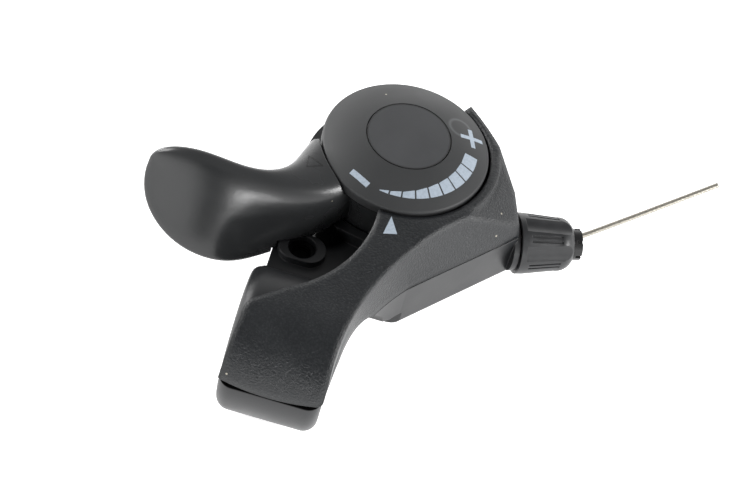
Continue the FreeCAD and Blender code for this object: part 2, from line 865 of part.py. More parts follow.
def click_ring():
    """Detent ring inside the knob's cup, keyed to the neck."""
    end = ring_at + click_ring_t
    body = barrel_rod(knob_cup_d / 2 - ring_gap, ring_at, end)
    body = body.fuse(ring_key(-1, 0)).fuse(ring_key(1, 0))
    return body.cut(barrel_rod(thread_d / 2 + 2 * run_gap, wall_at - key_in, end)).removeSplitter()


def adjuster_bolt():
    """Threaded stem, and the collar with the cable casing's socket."""
    shoulder_at = knob_at + knob_cup
    head_r = knob_bore_d / 2 - press_gap
    stem = barrel_turned([
        (wall_at - thread_in, cable_d),
        (wall_at - thread_in, thread_d / 2),
        (shoulder_at, thread_d / 2),
        (shoulder_at, head_r),
        (collar_at, head_r),
        (collar_at, socket_d / 2),
        (collar_at - socket_depth, socket_d / 2),
        (collar_at - socket_depth, cable_d),
    ])
    notches = []
    for i in range(flutes):
        box = Part.makeBox(collar_out * 0.6, knob_bore_d, collar_notch)
        box.translate(V(collar_at - collar_out * 0.6, socket_d / 2 + collar_lip, -collar_notch / 2))
        box.rotate(V(), V(1, 0, 0), 360 / flutes * i)
        notches.append(on_barrel(box))
    return stem.cut(Part.makeCompound(notches))


def adjuster_knob():
    """Fluted grip: a skirt, six scooped flutes and lands with two fine grooves each."""
    r = knob_d / 2
    nose_r = knob_nose_d / 2
    end = knob_at + knob_len
    bore = knob_bore_d / 2
    shoulder_at = end - knob_shoulder
    shoulder_r = r - knob_taper

    def at(s, radius):
        return V(s, radius, 0)

    profile = closed_wire(at(knob_at, knob_cup_d / 2), [
        (at(knob_at, r),),
        (at(knob_at + knob_skirt, r),),
        (at(shoulder_at, shoulder_r),),
        (at(end - knob_shoulder / 3, shoulder_r - knob_crown), at(end, nose_r)),
        (at(end, bore),),
        (at(knob_at + knob_cup, bore),),
        (at(knob_at + knob_cup, knob_cup_d / 2),),
    ])
    knob = on_barrel(Part.Face(profile).revolve(V(), V(1, 0, 0), 360))
    cuts = []
    for i in range(flutes):
        turn = 360 / flutes * (i + 0.5)
        start = V(knob_at + knob_skirt, r + flute_r - flute_depth, 0)
        flute = Part.makeCylinder(flute_r, knob_len, start, at(shoulder_at, shoulder_r) - at(knob_at + knob_skirt, r))
        flute.rotate(V(), V(1, 0, 0), turn)
        cuts.append(on_barrel(flute))
        for side in (-1, 1):
            groove = Part.makeBox(knob_len * 0.5, flute_r, land_groove)
            offset = side * land_groove * 1.3 - land_groove / 2
            groove.translate(V(knob_at + knob_skirt + land_groove_at, r - land_groove_in, offset))
            groove.rotate(V(), V(1, 0, 0), turn + 180 / flutes)
            cuts.append(on_barrel(groove))
    return knob.cut(Part.makeCompound(cuts))


# Route of the cable: the drum's tangent point, the mouth of the casing socket, then the free end
cable_points = [
    tangent,
    tangent + barrel_dir * cable_straight,
    V(61.9, 52.3, 7.0),
    V(81.2, 66.4, 12.5),
]


def cable_path():
    """Straight runs joined by tangent arcs, each as large as its two runs allow."""
    edges = []
    here = cable_points[0]
    for before, corner, after in zip(cable_points, cable_points[1:], cable_points[2:]):
        back = (before - corner).normalize()
        ahead = (after - corner).normalize()
        turn = math.pi - back.getAngle(ahead)
        cut = 0.45 * min(before.distanceToPoint(corner), corner.distanceToPoint(after))
        radius = cut / math.tan(turn / 2)
        print("cable bend radius", round(radius, 1), "turn", round(math.degrees(turn), 1))
        middle = (back + ahead).normalize()
        centre = corner + middle * (radius / math.cos(turn / 2))
        edges.append(Part.makeLine(here, corner + back * cut))
        edges.append(Part.Arc(corner + back * cut, centre - middle * radius, corner + ahead * cut).toShape())
        here = corner + ahead * cut
    edges.append(Part.makeLine(here, cable_points[-1]))
    return Part.Wire(edges)


def inner_cable():
    path = cable_path()
    rim = Part.Wire(Part.makeCircle(cable_d / 2, cable_points[0], cable_points[1] - cable_points[0]))
    tube = path.makePipeShell([rim], True, False)
    print("cable volume", round(tube.Volume, 2), "section x length",
          round(math.pi * cable_d ** 2 / 4 * path.Length, 2), "length", round(path.Length, 2))
    return tube


pieces = {
    "base_bracket": base_bracket,
    "top_cover": top_cover,
    "cover_screws": cover_screws,
    "clamp_bolt": clamp_bolt,
    "clamp_nut": clamp_nut,
    "pivot_insert": pivot_insert,
    "pivot_bush": pivot_bush,
    "pivot_bolt": pivot_bolt,
    "flat_washer": flat_washer,
    "spring_washer": spring_washer,
    "click_spring": click_spring,
    "leaf_pin": leaf_pin,
    "thumb_lever": thumb_lever,
    "drive_pins": drive_pins,
    "index_plate": index_plate,
    "cable_drum": cable_drum,
    "cable_nipple": cable_nipple,
    "cable_wrap": cable_wrap,
    "dial": dial,
    "dial_cap": dial_cap,
    "adjuster_bolt": adjuster_bolt,
    "adjuster_knob": adjuster_knob,
    "click_ring": click_ring,
    "inner_cable": inner_cable,
}

os.makedirs("parts", exist_ok=True)
for name, make in pieces.items():
    make().exportStep("parts/" + name + ".step")
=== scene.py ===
"""Studio scene of a thumb-lever gear shifter: finishes, printed marks, stranded cable, camera and light.

Sizes are in millimetres, as in the part's source, and are turned to metres where they are used. The floor and the
lights are in metres and watts.
"""
import json
import math

import bmesh
import bpy
from mathutils import Matrix, Vector


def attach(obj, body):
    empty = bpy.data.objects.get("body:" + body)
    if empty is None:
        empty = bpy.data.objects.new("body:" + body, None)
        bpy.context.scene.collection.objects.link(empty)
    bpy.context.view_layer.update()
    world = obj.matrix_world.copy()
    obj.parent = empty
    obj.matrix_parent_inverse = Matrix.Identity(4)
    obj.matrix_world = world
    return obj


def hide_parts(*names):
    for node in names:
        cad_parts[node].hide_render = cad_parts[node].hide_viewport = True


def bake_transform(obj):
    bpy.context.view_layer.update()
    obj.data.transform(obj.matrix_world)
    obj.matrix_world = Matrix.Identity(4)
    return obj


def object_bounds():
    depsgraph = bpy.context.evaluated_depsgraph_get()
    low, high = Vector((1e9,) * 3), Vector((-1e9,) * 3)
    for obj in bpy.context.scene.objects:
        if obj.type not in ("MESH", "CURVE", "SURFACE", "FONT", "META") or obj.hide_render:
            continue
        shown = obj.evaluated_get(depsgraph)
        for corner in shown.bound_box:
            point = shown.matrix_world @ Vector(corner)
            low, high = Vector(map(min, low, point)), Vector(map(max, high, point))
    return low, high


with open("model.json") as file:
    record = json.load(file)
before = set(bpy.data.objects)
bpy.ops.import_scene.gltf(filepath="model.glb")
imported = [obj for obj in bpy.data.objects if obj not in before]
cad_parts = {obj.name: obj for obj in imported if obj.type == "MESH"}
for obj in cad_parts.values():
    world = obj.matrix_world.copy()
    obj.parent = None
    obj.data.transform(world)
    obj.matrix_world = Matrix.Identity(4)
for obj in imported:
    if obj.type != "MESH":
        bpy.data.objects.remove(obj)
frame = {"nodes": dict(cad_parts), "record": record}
cad_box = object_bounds()
nodes = frame["nodes"]

MM = 0.001

# Pivot, as in the part's source, and a level above the whole part
pivot = Vector((12.5, 45.0, 0.0)) * MM
print_z = 30.0 * MM

# Slack for cuts and for merging doubles, in metres
cut_slack = 1e-7
merge_slack = 1e-6

# Parting line between cover and base as painted shadow, the dark line of its gap: height, half width, and the side of
# the upright plane x + y = seam_from that it runs on. It keeps to walls that face up less than seam_walls say
seam_from = 12.0
seam_core = 0.6
seam_walls = (0.6, 0.9)
seam_shadow_tint = "#040404"
neck_seam_shadow = (9.5, 0.24, "GREATER_THAN")
leg_seam_shadow = (3.1, 0.75, "LESS_THAN")

# Marks of use and painted shade: rings as centre, radius, width, strength and tint (the water ring a stain, the cap's
# ring painted shade in its groove), a patch of painted shade in the pocket as centre, reach and fade, and dust
water_ring = ((22.5, 52.4, 22.0), 2.5, 0.55, 0.1, "#b9bcc0")
# Painted shade: a dark ring where the groove round the cap lies
cap_groove_shade = ((12.5, 45.0, 23.0), 8.95, 0.4, 0.95, "#060606")
pocket_shade = ((1.5, 28.0, 5.0), 6.5, 2.0)
pocket_shade_tint = "#070707"
dust_cell = 5.0
dust_size = 0.28
dust_core = 0.5
dust_tint = "#a8a293"

# Surfaces: where a noise counts as low and as high, and how far the gloss strays from the roughness at both ends
drift_span = (0.35, 0.7)
gloss_span = (0.3, 0.7)
grain_span = (0.45, 0.75)
grain_tint = "#7d8084"
plastic_gloss = (-0.05, 0.06)
plastic_ior = 1.5
plastic_shine = 0.5
edge_samples = 8
metal_gloss = (-0.06, 0.08)
ink_patch = 0.5
ink_span = (0.4, 0.75)
ink_rough = 0.5

# Blender's wave bands repeat every tenth of pi
wave_period = math.pi / 10

# Printed scale: dividing lines between the bars, and the inner radius at each line
scale_start = 12.0
scale_outer = 15.25
scale_lines = (-100.5, -92.6, -82.4, -71.1, -59.5, -47.6, -35.6, -23.4, -11.2, 3.2)
scale_inner = (15.1, 14.6, 14.15, 13.64, 13.16, 12.8, 12.55, 12.4, 12.34, 12.4)
scale_gap = 0.36
scale_cuts = 3
scale_steps = 8

# Signs on the dial, round the pivot, the pointer on the cover, and the small mark on the lever, round the pivot too
sign_plus = (12.96, 5.85)
sign_plus_turn = 19.6
sign_plus_size = (5.2, 0.98)
sign_minus = (-7.4, -13.27)
sign_minus_turn = -30.2
sign_minus_size = (4.85, 1.16)
stroke_cells = (8, 2)
pointer_corners = ((13.62, 25.75), (12.95, 20.95), (15.75, 21.8))
pointer_cells = 8
grid_over = 2.1
mark_corners = ((-18.9, -10.5), (-15.6, -12.3), (-18.6, -13.9))
mark_width = 0.28
ink_height = 0.02

# Barrel: the line that the adjuster and the cable share, from the drum's tangent point
tangent = Vector((16.52, 33.27, 3.2))
barrel_turn = math.radians(18.9)
barrel_dir = Vector((math.cos(barrel_turn), math.sin(barrel_turn), 0.0))

# Fine grooves on the knob's lands: two on each land, sunk into the taper from the skirt to the shoulder
knob_lands = 6
land_r = 6.7
land_from = 27.4
land_fall = 0.8
land_len = 7.4
groove_from = 28.1
groove_to = 35.3
groove_w = 0.46
groove_deep = 0.3
groove_slope = 0.085
groove_off = 0.53
groove_tall = 3.0
knob_crease = math.radians(30)

# Cable: the part's route, with one more point that keeps the line straight through the barrel. The skin shows fewer
# and thicker wires than the real lay has, so that they can be seen
cable_d = 1.2
cable_steady = 22.0
cable_straight = 36.0
cable_route = [
    tangent,
    tangent + barrel_dir * cable_steady,
    tangent + barrel_dir * cable_straight,
    Vector((61.9, 52.3, 7.0)),
    Vector((81.2, 66.4, 12.5)),
]
cable_steps = 80
cable_strands = 9
cable_pitch = 9.0
wire_sides = 5
wire_root = 0.86

# Floor: white paper just under the part, with a glow of its own that keeps it white
floor_side = 3.0
floor_gap = 0.0002
floor_rough = 0.8
floor_glow = 0.75

# Sky: a white sweep that is brightest low down and darker overhead, with a dark gap in front of the part. The gap
# lies round gap_middle along x, full within its core and gone at its edge, and fades out along y
sky_strength = 2.4
sky_low = 1.0
sky_top = 0.15
sky_between = ((0.2, 0.8), (0.45, 0.42), (0.75, 0.2))
sky_front = 0.12
gap_middle = 0.08
gap_core, gap_edge = 0.14, 0.36
gap_full, gap_gone = -0.7, -0.3

# Soft lights: name, place, size and power; all are aimed at the middle of the part
part_middle = (0.0, 0.03, 0.0)
softboxes = (
    ("softbox_left", (-0.75, 0.3, 0.5), (0.5, 0.35), 4.0),
    ("softbox_right", (0.8, -0.1, 0.45), (0.3, 0.2), 4.5),
    ("softbox_back", (-0.62, 0.52, 0.12), (0.3, 0.12), 1.2),
    ("softbox_low", (0.35, -0.83, 0.12), (0.14, 0.06), 1.0),
)

# Camera, worked out from the photo
camera_place = Vector((12.5, -239.913, 332.602)) * MM
camera_target = Vector((12.3004, 23.2337, 10.0)) * MM
camera_roll = math.radians(16.206)
camera_lens = 95.629
camera_sensor = 36.0


def hex_rgb(code):
    """Linear colour of an sRGB hex value."""
    parts = [int(code[i:i + 2], 16) / 255 for i in (1, 3, 5)]
    return [c / 12.92 if c <= 0.04045 else ((c + 0.055) / 1.055) ** 2.4 for c in parts] + [1.0]


def add(tree, kind, inputs=None, **settings):
    """Adds a node; an input is linked if it is a socket, or a node, which gives its first output, and set if not."""
    node = tree.nodes.new(kind)
    for key, value in settings.items():
        setattr(node, key, value)
    for key, value in (inputs or {}).items():
        if isinstance(value, bpy.types.Node):
            value = value.outputs[0]
        if isinstance(value, bpy.types.NodeSocket):
            tree.links.new(value, node.inputs[key])
        else:
            node.inputs[key].default_value = value
    return node


def new_material(name):
    """Empty material with its shader, output and object coordinates."""
    made = bpy.data.materials.new(name)
    made.use_nodes = True
    tree = made.node_tree
    tree.nodes.clear()
    shader = add(tree, "ShaderNodeBsdfPrincipled")
    add(tree, "ShaderNodeOutputMaterial", {"Surface": shader})
    coords = add(tree, "ShaderNodeTexCoord").outputs["Object"]
    return made, tree, shader, coords


def per_mm(size):
    """Texture scale whose features are that many millimetres across."""
    return 1.0 / (size * MM)


# In the nodes below, inputs 1 to 4 of Map Range are the two ends that it reads and what it gives there, and inputs
# 0, 6 and 7 of Mix are the share and the two colours


def dust_mask(tree, coords, share):
    """Sparse round specks: a share of the cells holds one."""
    cells = add(tree, "ShaderNodeTexVoronoi", {"Vector": coords, "Scale": per_mm(dust_cell)})
    reach = dust_size / dust_cell
    near = add(tree, "ShaderNodeMapRange", {
        0: cells.outputs["Distance"], 1: reach * dust_core, 2: reach, 3: 1.0, 4: 0.0})
    draw = add(tree, "ShaderNodeSeparateColor", {"Color": cells.outputs["Color"]})
    chosen = add(tree, "ShaderNodeMath", {0: draw.outputs["Red"], 1: share}, operation="LESS_THAN")
    return add(tree, "ShaderNodeMath", {0: near, 1: chosen}, operation="MULTIPLY")


def ring_mask(tree, coords, centre, radius, width, strength):
    """A circle that fades to both sides."""
    away = add(tree, "ShaderNodeVectorMath", {0: coords, 1: Vector(centre) * MM}, operation="DISTANCE")
    off = add(tree, "ShaderNodeMath", {0: away.outputs["Value"], 1: radius * MM}, operation="SUBTRACT")
    off = add(tree, "ShaderNodeMath", {0: off}, operation="ABSOLUTE")
    return add(tree, "ShaderNodeMapRange", {0: off, 1: 0.0, 2: width * MM, 3: strength, 4: 0.0})


def seam_shadow_mask(tree, coords, height, half, side):
    """A level line of painted shadow on the upright walls, on one side of the parting line's plane."""
    axes = add(tree, "ShaderNodeSeparateXYZ", {"Vector": coords})
    off = add(tree, "ShaderNodeMath", {0: axes.outputs["Z"], 1: height * MM}, operation="SUBTRACT")
    off = add(tree, "ShaderNodeMath", {0: off}, operation="ABSOLUTE")
    line = add(tree, "ShaderNodeMapRange", {0: off, 1: half * seam_core * MM, 2: half * MM, 3: 1.0, 4: 0.0})
    along = add(tree, "ShaderNodeMath", {0: axes.outputs["X"], 1: axes.outputs["Y"]}, operation="ADD")
    kept = add(tree, "ShaderNodeMath", {0: along, 1: seam_from * MM}, operation=side)
    line = add(tree, "ShaderNodeMath", {0: line, 1: kept}, operation="MULTIPLY")
    facing = add(tree, "ShaderNodeSeparateXYZ", {"Vector": add(tree, "ShaderNodeTexCoord").outputs["Normal"]})
    upright = add(tree, "ShaderNodeMapRange", {
        0: facing.outputs["Z"], 1: seam_walls[0], 2: seam_walls[1], 3: 1.0, 4: 0.0})
    return add(tree, "ShaderNodeMath", {0: line, 1: upright}, operation="MULTIPLY")


def shade_patch_mask(tree, coords, centre, reach, fade):
    """A round patch of painted shade that thins out towards its edge."""
    away = add(tree, "ShaderNodeVectorMath", {0: coords, 1: Vector(centre) * MM}, operation="DISTANCE")
    return add(tree, "ShaderNodeMapRange", {
        0: away.outputs["Value"], 1: (reach - fade) * MM, 2: reach * MM, 3: 1.0, 4: 0.0})


def moulded(name, dark, light, rough, grain, depth, patch, tone=0.0, edge=0.2, dust=0.0, ring=None, seam_shadow=None,
            shade_patch=None):
    """Moulded plastic: slow colour drift, mould grain and soft edges, uneven gloss, marks of use, and painted shade.
    """
    made, tree, shader, coords = new_material(name)
    drift = add(tree, "ShaderNodeTexNoise", {"Vector": coords, "Scale": per_mm(patch), "Detail": 4.0})
    bumps = add(tree, "ShaderNodeTexNoise", {"Vector": coords, "Scale": per_mm(grain), "Detail": 2.0})

    # Layers of colour from the ground up, each with its mask and tint; the dull ones are painted shade, in gaps and
    # in the pocket, and also take the shine away
    amount = add(tree, "ShaderNodeMapRange", {0: drift, 1: drift_span[0], 2: drift_span[1], 3: 0.0, 4: 1.0})
    layers = [(amount, light)]
    dull = []
    if tone:
        peaks = add(tree, "ShaderNodeMapRange", {0: bumps, 1: grain_span[0], 2: grain_span[1], 3: 0.0, 4: tone})
        layers.append((peaks, grain_tint))
    if ring:
        layers.append((ring_mask(tree, coords, *ring[:-1]), ring[-1]))
    if dust:
        layers.append((dust_mask(tree, coords, dust), dust_tint))
    # Painted shadow in the parting gap, which also loses its shine
    if seam_shadow:
        dull.append(seam_shadow_mask(tree, coords, *seam_shadow))
        layers.append((dull[-1], seam_shadow_tint))
    # Painted shade in the pocket, which also loses its shine
    if shade_patch:
        dull.append(shade_patch_mask(tree, coords, *shade_patch))
        layers.append((dull[-1], pocket_shade_tint))

    colour = hex_rgb(dark)
    for mask, tint in layers:
        blend = add(tree, "ShaderNodeMix", {0: mask, 6: colour, 7: hex_rgb(tint)}, data_type="RGBA")
        colour = blend.outputs[2]
    tree.links.new(colour, shader.inputs["Base Color"])
    if dull:
        most = dull[0]
        for mask in dull[1:]:
            most = add(tree, "ShaderNodeMath", {0: most, 1: mask}, operation="MAXIMUM")
        shine = add(tree, "ShaderNodeMapRange", {0: most, 1: 0.0, 2: 1.0, 3: plastic_shine, 4: 0.0})
        tree.links.new(shine.outputs["Result"], shader.inputs["Specular IOR Level"])

    soft = add(tree, "ShaderNodeBevel", {"Radius": edge * MM}, samples=edge_samples)
    relief = add(tree, "ShaderNodeBump", {"Height": bumps, "Distance": depth * MM, "Strength": 1.0, "Normal": soft})
    tree.links.new(relief.outputs["Normal"], shader.inputs["Normal"])
    gloss = add(tree, "ShaderNodeMapRange", {
        0: drift, 1: gloss_span[0], 2: gloss_span[1], 3: rough + plastic_gloss[0], 4: rough + plastic_gloss[1]})
    tree.links.new(gloss.outputs["Result"], shader.inputs["Roughness"])
    shader.inputs["IOR"].default_value = plastic_ior
    return made


def metal(name, dark, light, rough, streak, thread=None):
    """Bare or plated metal with fine uneven polish; a thread, as pitch and depth, shows as rings along z."""
    made, tree, shader, coords = new_material(name)
    tone = add(tree, "ShaderNodeTexNoise", {"Vector": coords, "Scale": per_mm(streak), "Detail": 3.0})
    colour = add(tree, "ShaderNodeMix", {0: tone, 6: hex_rgb(dark), 7: hex_rgb(light)}, data_type="RGBA")
    tree.links.new(colour.outputs[2], shader.inputs["Base Color"])
    gloss = add(tree, "ShaderNodeMapRange", {
        0: tone, 1: gloss_span[0], 2: gloss_span[1], 3: rough + metal_gloss[0], 4: rough + metal_gloss[1]})
    tree.links.new(gloss.outputs["Result"], shader.inputs["Roughness"])
    shader.inputs["Metallic"].default_value = 1.0
    if thread:
        pitch, depth = thread
        turns = add(tree, "ShaderNodeTexWave", {"Vector": coords, "Scale": per_mm(pitch) * wave_period},
                    bands_direction="Z")
        relief = add(tree, "ShaderNodeBump", {
            "Height": turns.outputs["Fac"], "Distance": depth * MM, "Strength": 1.0})
        tree.links.new(relief.outputs["Normal"], shader.inputs["Normal"])
    return made


def printed(name, light, dark):
    """Flat colour, a little thinner in places: for pad-printed ink, and for painted shadow in a moulded groove."""
    made, tree, shader, coords = new_material(name)
    cover = add(tree, "ShaderNodeTexNoise", {"Vector": coords, "Scale": per_mm(ink_patch), "Detail": 3.0})
    thin = add(tree, "ShaderNodeMapRange", {0: cover, 1: ink_span[0], 2: ink_span[1], 3: 0.0, 4: 1.0})
    colour = add(tree, "ShaderNodeMix", {0: thin, 6: hex_rgb(light), 7: hex_rgb(dark)}, data_type="RGBA")
    tree.links.new(colour.outputs[2], shader.inputs["Base Color"])
    shader.inputs["Roughness"].default_value = ink_rough
    shader.inputs["IOR"].default_value = plastic_ior
    return made


# Rough, grain, depth, patch and edge: roughness, then the size and depth of the grain, the size of the drift's patches
# and the radius that softens edges, in millimetres; streak is the size of a metal's uneven polish
materials = {
    # Glass-filled nylon from a smooth mould: dark grey with a soft sheen. Painted shade, dull and dark, lies in
    # the pocket beside the neck and along the parting gap at the foot of the leg
    "bracket_plastic": moulded(
        "moulded nylon, smooth", "#191a1c", "#202123", rough=0.4, grain=0.5, depth=0.008, patch=9.0, edge=0.3,
        seam_shadow=leg_seam_shadow, shade_patch=pocket_shade),
    # Glass-filled nylon from a spark-eroded mould: an even grain that breaks up the gloss, drawn coarse enough to show
    # Painted shadow as a dark line in the parting gap where the flank meets the base
    "cover_plastic": moulded(
        "moulded nylon, fine grain", "#0f1215", "#131619", rough=0.32, grain=0.4, depth=0.16, patch=8.0, tone=0.05,
        edge=2.0, dust=0.25, seam_shadow=neck_seam_shadow),
    # Nylon lever polished by thumbs: nearly black, with a clear but soft reflection
    "lever_plastic": moulded(
        "moulded nylon, worn smooth", "#262728", "#2a2b2c", rough=0.22, grain=0.6, depth=0.008, patch=18.0, edge=0.4,
        dust=0.4),
    # ABS dial, satin, with a dried ring of water beside the plus sign
    "dial_plastic": moulded(
        "moulded ABS, satin", "#292a2b", "#2d2e2f", rough=0.55, grain=0.35, depth=0.006, patch=10.0, dust=0.05,
        ring=water_ring),
    # ABS cap, matt, with painted shade along the groove round it
    "cap_plastic": moulded(
        "moulded ABS, matt", "#353638", "#3a3b3d", rough=0.55, grain=0.3, depth=0.01, patch=5.0, dust=0.03,
        ring=cap_groove_shade),
    # Nylon knob from a plain mould: dark grey, a little uneven where fingers grip it
    "knob_plastic": moulded(
        "moulded nylon, knob", "#1b1c1e", "#242527", rough=0.4, grain=0.4, depth=0.02, patch=4.0),
    # Lacquer over a turned brass stem: a smooth, glossy black
    "black_metal": moulded(
        "black lacquered brass", "#101011", "#161617", rough=0.25, grain=0.5, depth=0.004, patch=3.0, edge=0.1),
    # Black-oxide screws and nut: dull dark metal with the turns of the thread
    "black_steel": metal(
        "black-oxide steel", "#1a1a1b", "#2c2c2d", rough=0.38, streak=1.5, thread=(0.8, 0.12)),
    # Zinc plate on pressed steel: mid grey with a faint bloom
    "zinc_steel": metal("zinc-plated steel", "#6f6f6b", "#8a8a86", rough=0.4, streak=1.5),
    # Hard spring strip: bright and fairly sharp in reflection
    "spring_steel": metal("bright spring steel", "#8c8c8e", "#a6a6a8", rough=0.28, streak=0.6),
    # Drawn wire: warm bright steel, handled and a little dulled
    "cable_steel": metal("drawn steel wire", "#8d897f", "#c4c0b6", rough=0.34, streak=0.35),
    # Turned brass: yellow, with fine marks of the tool
    "brass": metal("turned brass", "#9c7a35", "#b8964a", rough=0.32, streak=0.6),
    # Natural acetal: milky white and slightly waxy
    "acetal": moulded("natural acetal", "#c9c8c2", "#d6d5d0", rough=0.4, grain=0.6, depth=0.006, patch=6.0),
}
# Pad-printed ink: a flat pale blue-grey, worn a little thin
ink = printed("pad-printed ink", "#a3aeba", "#929eaa")
# The lever's moulded triangle: fine lines painted dark as the shadow in its groove
shade = printed("shaded groove in nylon", "#040404", "#0a0a0b")

slots = {sub["node"]: sub["material_slot"] for sub in frame["record"]["subparts"]}


def paint(piece, material):
    """Gives a piece one material alone."""
    piece.data.materials.clear()
    piece.data.materials.append(material)


for name, piece in nodes.items():
    paint(piece, materials[slots[name]])


def only(piece):
    """Selects one object alone and makes it active."""
    bpy.ops.object.select_all(action="DESELECT")
    piece.select_set(True)
    bpy.context.view_layer.objects.active = piece


def pick(piece, test):
    """In edit mode, selects the vertices that pass a test and leaves the others."""
    bpy.ops.mesh.select_all(action="DESELECT")
    bpy.ops.object.mode_set(mode="OBJECT")
    for vertex in piece.data.vertices:
        vertex.select = test(vertex.co)
    bpy.ops.object.mode_set(mode="EDIT")


def cut_off(point, outward):
    """In edit mode, cuts the whole piece along an upright plane and drops the side that outward points to."""
    bpy.ops.mesh.select_all(action="SELECT")
    bpy.ops.mesh.bisect(plane_co=(*point, 0.0), plane_no=(*outward.normalized(), 0.0), clear_outer=True,
                        threshold=cut_slack)


def laid_on(piece, carrier, thick):
    """Lays a flat piece down on a node's surface and gives it its thickness, half above and half below."""
    only(piece)
    bpy.ops.object.transform_apply(location=True, rotation=True, scale=True)
    wrap = piece.modifiers.new("lay", "SHRINKWRAP")
    wrap.target = nodes[carrier]
    wrap.wrap_method = "PROJECT"
    wrap.use_project_z = True
    wrap.use_positive_direction = False
    wrap.use_negative_direction = True
    bpy.ops.object.modifier_apply(modifier=wrap.name)
    film = piece.modifiers.new("film", "SOLIDIFY")
    film.thickness = 2 * thick * MM
    film.offset = 0.0
    bpy.ops.object.modifier_apply(modifier=film.name)


def joined(pieces, name):
    """Several pieces as one object."""
    only(pieces[0])
    if len(pieces) > 1:
        for piece in pieces:
            piece.select_set(True)
        bpy.ops.object.join()
    whole = bpy.context.object
    whole.name = name
    return whole


def scale_bar(index):
    """One bar of the printed scale: a radial edge spun round the pivot, its inner side cut to the taper."""
    half = math.degrees(scale_gap / 2 / scale_outer)
    first = scale_lines[index] + (half if index else 0.0)
    last = scale_lines[index + 1] - (half if index < len(scale_lines) - 2 else 0.0)
    inner, inner_end = scale_inner[index], scale_inner[index + 1]
    sweep = math.radians(last - first)
    reach = (scale_outer - scale_start) * MM
    bpy.ops.object.select_all(action="DESELECT")
    bpy.ops.mesh.primitive_plane_add(size=reach, location=(pivot.x, pivot.y, print_z))
    piece = bpy.context.object
    bpy.ops.object.mode_set(mode="EDIT")
    bpy.ops.transform.translate(value=(scale_start * MM + reach / 2, reach / 2, 0.0))
    pick(piece, lambda co: co.y > reach / 2)
    bpy.ops.mesh.delete(type="VERT")
    bpy.ops.mesh.select_all(action="SELECT")
    bpy.ops.mesh.subdivide(number_cuts=scale_cuts)
    # A positive angle spins clockwise, so the sweep is turned round
    bpy.ops.mesh.spin(steps=scale_steps, angle=-sweep, center=(pivot.x, pivot.y, print_z), axis=(0, 0, 1))
    corner = Vector((inner, 0.0)) * MM
    corner_end = Vector((math.cos(sweep), math.sin(sweep))) * inner_end * MM
    side = corner_end - corner
    cut_off(pivot.xy + corner, Vector((-side.y, side.x)))
    bpy.ops.object.mode_set(mode="OBJECT")
    piece.rotation_euler.z = math.radians(first)
    return piece


def stroke(centre, turn, size):
    """A straight stroke of a sign, flat above the part; its centre lies round the pivot."""
    bpy.ops.object.select_all(action="DESELECT")
    bpy.ops.mesh.primitive_grid_add(
        x_subdivisions=stroke_cells[0], y_subdivisions=stroke_cells[1], size=MM,
        rotation=(0, 0, math.radians(turn)),
        location=(pivot.x + centre[0] * MM, pivot.y + centre[1] * MM, print_z))
    piece = bpy.context.object
    piece.scale = (*size, 1.0)
    return piece


def triangle(corners, cells):
    """A flat triangle above the part: a square grid cut along three sides."""
    spots = [Vector(corner) * MM for corner in corners]
    middle = sum(spots, Vector((0.0, 0.0))) / 3
    reach = max((spot - middle).length for spot in spots)
    bpy.ops.object.select_all(action="DESELECT")
    bpy.ops.mesh.primitive_grid_add(
        x_subdivisions=cells, y_subdivisions=cells, size=grid_over * reach, location=(*middle, print_z))
    piece = bpy.context.object
    bpy.ops.object.transform_apply(location=True)
    bpy.ops.object.mode_set(mode="EDIT")
    for first, second in zip(spots, spots[1:] + spots[:1]):
        side = second - first
        outward = Vector((side.y, -side.x))
        cut_off(first, outward if outward.dot(first - middle) > 0 else -outward)
    bpy.ops.object.mode_set(mode="OBJECT")
    return piece


def outline(corners, width):
    """The sides of a flat figure as strokes; the corners lie round the pivot."""
    spots = [Vector(corner) for corner in corners]
    return [stroke((first + second) / 2, math.degrees(math.atan2(*reversed(second - first))),
                   ((second - first).length + width, width))
            for first, second in zip(spots, spots[1:] + spots[:1])]


def print_on(parts, name, carrier, body, finish=ink):
    """Lays the parts of one mark on their carrier and makes them a piece that rides with it."""
    for part in parts:
        laid_on(part, carrier, ink_height)
    piece = joined(parts, name)
    paint(piece, finish)
    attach(piece, body)


print_on([scale_bar(i) for i in range(len(scale_lines) - 1)], "scale_print", "dial", "lever")
print_on([stroke(sign_plus, sign_plus_turn + turn, sign_plus_size) for turn in (0, 90)],
         "plus_print", "dial", "lever")
print_on([stroke(sign_minus, sign_minus_turn, sign_minus_size)], "minus_print", "dial", "lever")
print_on([triangle(pointer_corners, pointer_cells)], "pointer_print", "top_cover", "bracket")
# The lever's triangle is painted shadow, laid on like a print
print_on(outline(mark_corners, mark_width), "lever_mark", "thumb_lever", "lever", shade)


def groove_cutter(turn, off):
    """A bar that lies along one groove of the knob and reaches out past its land."""
    middle = (groove_from + groove_to) / 2
    floor_r = land_r - land_fall / land_len * (middle - land_from) - groove_deep
    bpy.ops.object.select_all(action="DESELECT")
    bpy.ops.mesh.primitive_cube_add(size=MM)
    bar = bpy.context.object
    bar.scale = (groove_to - groove_from, groove_tall, groove_w)
    bar.rotation_euler.z = -math.atan(groove_slope)
    bpy.ops.object.transform_apply(rotation=True, scale=True)
    bar.data.transform(Matrix.Translation(Vector((middle, floor_r + groove_tall / 2, off)) * MM))
    bar.data.transform(Matrix.Rotation(turn, 4, "X"))
    bar.data.transform(Matrix.Translation(tangent * MM) @ Matrix.Rotation(barrel_turn, 4, "Z"))
    return bar


